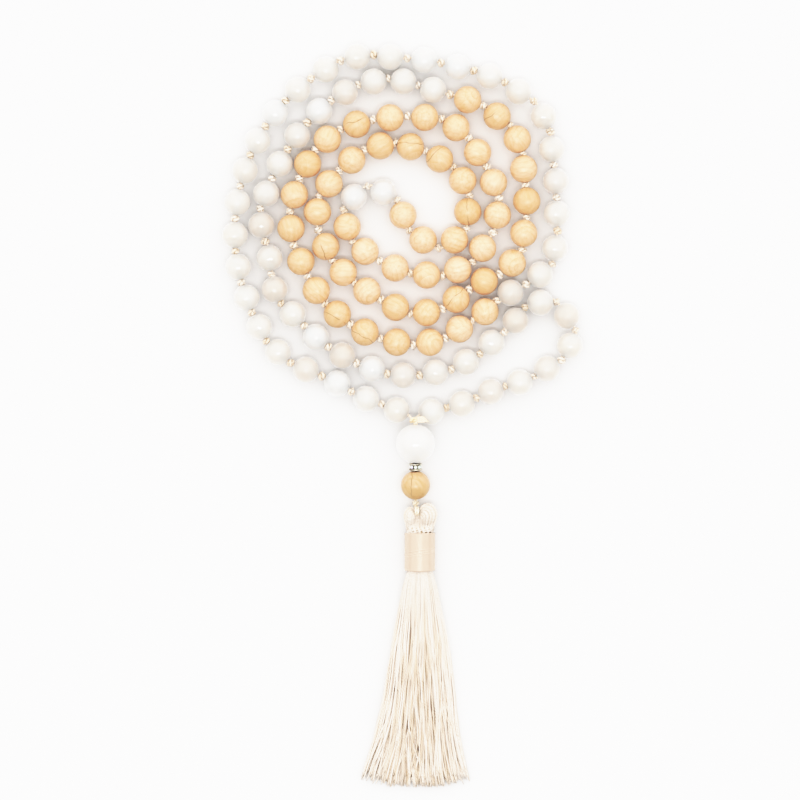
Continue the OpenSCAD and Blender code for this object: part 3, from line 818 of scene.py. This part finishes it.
# Yarns of one lobe. Each leaves the slit where the cord goes in, loops round inside its lobe and goes
# down into the band. Yarn n of its shell, 0 next to the slit and 1 round the rim, is the rim's loop
# drawn in towards the tie by n, and the last few close the rim's side. Heights come from the lobe's
# ellipsoid, z^2 = hz^2 (1 - (x / hx)^2 - (y / hy)^2), which passes into the round neck
def lobeYarns(out, middle, half, shell, dice):
    kit = head
    up, scale, count = shell
    tie, (cx, cy) = np.array(kit["tie"]), middle
    hx, hy, hz = np.array(half) * scale
    neckR = kit["neckR"] * scale
    inner = count - len(kit["closing"])
    lean = np.linspace(np.arcsin(tie[0] / neckR * out) + 0.03, np.pi / 2, inner)
    n = (neckR * np.sin(lean) * out - tie[0]) / (neckR * out - tie[0])
    n = np.append(n + dice.uniform(-kit["jitter"], kit["jitter"], inner), np.ones(count - inner))
    height = np.append(np.ones(inner), kit["closing"])[:, None]
    bends = np.radians(kit["bends"])
    rim = np.stack([cx + out * hx * np.cos(bends), cy + hy * np.sin(bends)], -1)
    loop = tie + n[:, None, None] * (rim - tie)
    start = np.stack([tie[0] + out * kit["slit"][0] + 0 * n, tie[1] + kit["slit"][1] * (n - 0.5)], -1)
    neckX = tie[0] + n * (out * neckR - tie[0])
    feet = np.stack([np.stack([neckX, y + 0 * n], -1) for y in kit["feet"]], 1)
    flat = through(np.concatenate([start[:, None], loop, feet], 1), kit["steps"])

    # low in the lobe the yarns draw together in bunches, which lean the other way in the inner shell
    x, y = flat[..., 0], flat[..., 1]
    leant = x + (-1 if scale < 1 else 1) * kit["bunchLean"] * y
    bunched = np.round(leant / kit["bunch"]) * kit["bunch"]
    x = x + (bunched - leant) * kit["bunching"] * ease(y, kit["bunchTop"], 0)

    lobeZ = hz**2 * np.clip(1 - ((x - cx) / hx) ** 2 - ((y - cy) / hy) ** 2, kit["rimShare"], 1)
    neckZ = np.clip(neckR**2 - x**2, kit["neckLeast"], None)
    share = ease(y, *kit["joining"])
    z = np.sqrt(share * lobeZ + (1 - share) * neckZ) * height
    along = np.linspace(0, 1, kit["steps"])
    rise = ease(along, 0, 0.1)
    furrow = ((0.5 + 0.5 * np.cos(tau * kit["furrows"] * n)) ** 3)[:, None] * rise * share
    z = (z - kit["furrowDepth"] * furrow) * (kit["startHeight"] + (1 - kit["startHeight"]) * rise)
    lines = np.stack([x + bandMid[0], y + bandHigh[1], up * z + bandMid[2]], -1)
    part = tubes(lines, kit["strandR"], kit["sides"], start=dice.uniform(0, silk["shift"], (count, 1)))
    # a random tint, with painted shade in the furrows, where the yarns leave the slit, and in the inner
    # shell low in the neck
    mood = dice.uniform(0, kit["tint"], (count, 1)) + furrow * kit["furrowPaintedShade"]
    mood = mood + kit["slitPaintedShade"] * (1 - ease(along, 0, 0.15))
    if scale < 1:
        mood = mood + kit["gapPaintedShade"] * ease(y / kit["bunchTop"], 1.2, 0.2)
    return {**part, "mood": mood[..., None, None]}


# A filling under the yarns: a ball scaled to the lobe, r = sin t and y = cos t
def lobeCore(middle, half, scale):
    t = np.linspace(0.08, np.pi - 0.08, 18)
    centre = np.array([bandMid[0] + middle[0], bandHigh[1] + middle[1], bandMid[2]])
    ball = turned((0, 0, 0), (0, -1, 0), np.stack([np.sin(t), -np.cos(t)], 1), 24)[0]
    return {"points": ball * np.array(half) * scale + centre, "looped": False,
            "ply": np.array([0.5, 0.5, 0.0]), "mood": head["coreMood"]}


# The head's lobes, each of three shells of yarns over its filling, and the filling of the neck
def tasselHead(kit):
    dice = np.random.default_rng(kit["seed"])
    parts = [lobeYarns(*lobe, shell, dice) for lobe in kit["lobes"] for shell in kit["shells"]]
    parts += [lobeCore(middle, half, kit["coreShare"]) for _, middle, half in kit["lobes"]]
    parts.append(lobeCore(*kit["neckCore"]))
    makePiece("tasselHead", parts, silkYarn, ["tassel"])


tasselHead(head)

# Band: a fine thread wound closely round the neck
band = {
    "wraps": 36, "ringsPerWrap": 6, "sides": 72, "ridge": 0.045, "wall": 0.45,
    "lipWidth": 0.2, "lipDepth": 0.12, "sag": 0.25, "sagWidth": 0.9, "sagHeight": 4.0,
    # threads that stand proud: up from the lower edge, and rise across
    "proudLines": [(4.8, 0.17), (5.4, 0.19), (6.2, 0.15)], "proud": 0.06, "proudWidth": 0.13,
    # how far towards deep a groove is, by painted shade, and how much paler a wrap's crest and a proud
    # thread are, by a painted highlight
    "groovePaintedShade": 0.55, "crestPaintedLight": 0.5, "proudPaintedLight": 0.2, "insideTint": 0.5,
    "pale": (0.64, 0.495, 0.385), "deep": (0.48, 0.345, 0.245),
}


# Band thread: pale, blended to deep by the attribute that holds its painted shade and highlight, under a
# silky shine
def bandMaterial(kit):
    material, tree, shader = startMaterial(
        "woundBand", Roughness=0.2, IOR=2.3, Specular_Tint=(1.0, 0.97, 0.9, 1))
    wind = numbersOf(tree, attribute(tree, "wind"))
    paint(tree, shader, kit["pale"], [(wind[0], kit["deep"])])
    return material


# The band's outside, h down from its upper edge: radius R - ridge (1 - |sin (pi (wraps h / L +
# a / 2 pi))|), with a few proud threads and rounded lips, and its lower edge drawn down by a bell
# curve of a, then back up the inside of its wall
def woundBand(kit):
    length = bandHigh[1] - bandLow[1]
    h = np.linspace(0, length, kit["wraps"] * kit["ringsPerWrap"] + 1)[:, None]
    up = length - h
    a = around(kit["sides"])
    wave = abs(np.sin(np.pi * (kit["wraps"] * h / length + a / tau)))
    proud = sum(np.exp(-((up - at - rise * bandRadius * np.cos(a)) / kit["proudWidth"]) ** 2)
                for at, rise in kit["proudLines"])
    lip = np.minimum(1, np.minimum(h, up) / kit["lipWidth"])
    radius = bandRadius - kit["ridge"] - kit["lipDepth"] * (1 - lip)
    radius = radius + kit["ridge"] * wave + kit["proud"] * proud
    sag = kit["sag"] * np.exp(-((a - np.pi / 2) / kit["sagWidth"]) ** 2)
    drop = sag * ease(up, kit["sagHeight"], 0)
    outside = np.stack([radius * np.cos(a), -(h + drop), radius * np.sin(a)], -1)
    wall = bandRadius - kit["wall"]
    inside = np.stack([np.stack([wall * np.cos(a), -edge, wall * np.sin(a)], -1)
                       for edge in (length + sag, 0 * a)])
    points = np.concatenate([outside, inside])[None] + (bandMid[0], bandHigh[1], bandMid[2])
    # painted shade in the grooves between wraps, and a painted highlight on each wrap's crest and on the
    # proud threads
    shade = kit["groovePaintedShade"] - kit["crestPaintedLight"] * wave - kit["proudPaintedLight"] * proud
    shade = np.concatenate([shade, np.full((2, kit["sides"]), kit["insideTint"])])
    part = {"points": points, "looped": True, "wind": np.clip(shade, 0, 1)[None, ..., None]}
    makePiece("woundBand", [part], bandMaterial(kit), ["tassel_binding"])


woundBand(band)

# Floor, light and camera
studio = {
    # the floor's half side, and the lamp's and the camera's sizes and distances, are in metres here
    "floorColour": (0.87, 0.87, 0.87, 1), "floorHalf": 2.0, "floorDrop": 0.02,
    # the sky is a wide soft panel over the table in a dimmer room: its reach to each side, towards
    # the tassel and away from it, as parts of a unit direction, and the softness of its edges
    "panel": 1.66, "room": 0.74, "panelSide": 0.93, "panelNear": -0.38, "panelFar": 1.05,
    "edgeSoftness": 0.06, "skyColour": (1, 0.995, 0.985, 1),
    "stripAngle": 11.0, "stripSize": (0.6, 0.08), "stripFar": 1.0, "stripPower": 2.4,
    # light in and light out of the tone curve, which ends at 1, so all light is dimmed by reach
    "reach": 2.2,
    "tone": [(0.0, 0.0), (0.15, 0.11), (0.32, 0.265), (0.5, 0.49), (0.7, 0.69), (0.85, 0.81),
             (1.0, 0.895), (1.2, 0.95), (1.5, 0.98), (2.2, 1.0)],
    "cameraFar": 1.1, "clipEnd": 20.0,
    "viewCentre": (-0.75, 4.8, 4.0), "viewWidth": 242.4, "sensor": 36.0,  # in millimetres
}


# A square of floor through four corners, a hair under the beads
def floorPlane(kit):
    half = kit["floorHalf"]
    corners = [(-half, -half, 0), (half, -half, 0), (half, half, 0), (-half, half, 0)]
    mesh = bpy.data.meshes.new("floor")
    mesh.from_pydata(corners, [], [(0, 1, 2, 3)])
    mesh.materials.append(startMaterial("paleFloor", Base_Color=kit["floorColour"], Roughness=0.9,
                                        Specular_IOR_Level=0.1)[0])
    floor = bpy.data.objects.new("floor", mesh)
    bpy.context.scene.collection.objects.link(floor)
    floor.location.z = -kit["floorDrop"] * mm


# Radiance = room + (panel - room) times the eased steps of the direction's x and y at the panel's
# edges
def softPanel(kit):
    world = bpy.data.worlds.new("softPanel")
    bpy.context.scene.world = world
    world.use_nodes = True
    tree = world.node_tree
    x, y, _ = numbersOf(tree, wire(tree, "TexCoord").outputs["Generated"])
    soft = kit["edgeSoftness"] / 2
    inside = 1.0
    for value, edge, sign in ((maths(tree, "ABSOLUTE", x), kit["panelSide"], -1),
                              (y, kit["panelNear"], 1), (y, kit["panelFar"], -1)):
        step = remap(tree, value, edge - sign * soft, edge + sign * soft, interpolation_type="SMOOTHSTEP")
        inside = times(tree, inside, step)
    panel, room = kit["panel"] / kit["reach"], kit["room"] / kit["reach"]
    sky = tree.nodes["Background"].inputs
    tree.links.new(maths(tree, "MULTIPLY_ADD", inside, panel - room, room), sky["Strength"])
    sky["Color"].default_value = kit["skyColour"]


# A narrow area lamp that leans by its angle towards the tassel and gives the beads their highlights
def stripLamp(kit):
    lamp = bpy.data.lights.new("strip", "AREA")
    lamp.shape = "RECTANGLE"
    lamp.size, lamp.size_y = kit["stripSize"]
    lamp.energy = kit["stripPower"] / kit["reach"]
    strip = bpy.data.objects.new("strip", lamp)
    lean = np.radians(kit["stripAngle"])
    strip.location = (0, -np.sin(lean) * kit["stripFar"], np.cos(lean) * kit["stripFar"])
    strip.rotation_euler = (lean, 0, 0)
    bpy.context.scene.collection.objects.link(strip)


# Straight down from above, with a lens of sensor times distance / width of the view
def overheadCamera(kit):
    data = bpy.data.cameras.new("overhead")
    camera = bpy.data.objects.new("overhead", data)
    bpy.context.scene.collection.objects.link(camera)
    bpy.context.scene.camera = camera
    x, y, z = (value * mm for value in kit["viewCentre"])
    data.sensor_width = kit["sensor"]
    data.lens = kit["sensor"] * kit["cameraFar"] / (kit["viewWidth"] * mm)
    data.clip_end = kit["clipEnd"]
    camera.location = (x, y, z + kit["cameraFar"])


# Highlights roll off towards white along the tone curve instead of clipping
def toneCurve(kit):
    view = bpy.context.scene.view_settings
    view.view_transform = "Standard"
    view.use_curve_mapping = True
    combined = view.curve_mapping.curves[3]
    for place, level in kit["tone"][1:-1]:
        combined.points.new(place / kit["reach"], level)
    view.curve_mapping.update()


floorPlane(studio)
softPanel(studio)
stripLamp(studio)
overheadCamera(studio)
toneCurve(studio)
print("floor, light and camera set")
